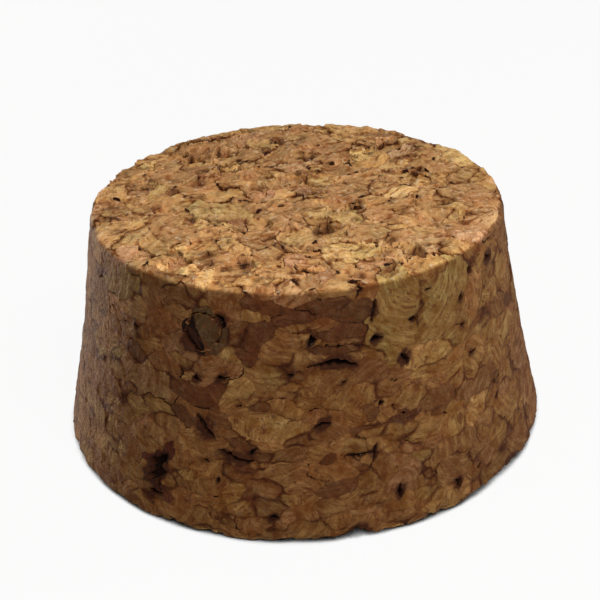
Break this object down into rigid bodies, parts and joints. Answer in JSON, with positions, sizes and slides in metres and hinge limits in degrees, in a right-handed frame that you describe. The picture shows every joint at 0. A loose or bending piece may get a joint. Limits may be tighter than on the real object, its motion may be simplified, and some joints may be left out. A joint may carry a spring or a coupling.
{
  "type": "cork stopper",
  "caption": "Short tapered stopper of agglomerated cork with sawn, pitted ends, a ground flank and a worn wide rim.",
  "frame": {"origin": "centre of the wide end, on the surface that the stopper stands on", "axes": "+Z along the axis, from the wide end to the narrow end; -Y is the side with the notch in the wide rim"},
  "size_m": [0.044, 0.044, 0.021],
  "materials": {
    "cork": "raw, ground and unsealed"
  },
  "bodies": {
    "root": {"stopper": "cork"}
  },
  "joints": []
}
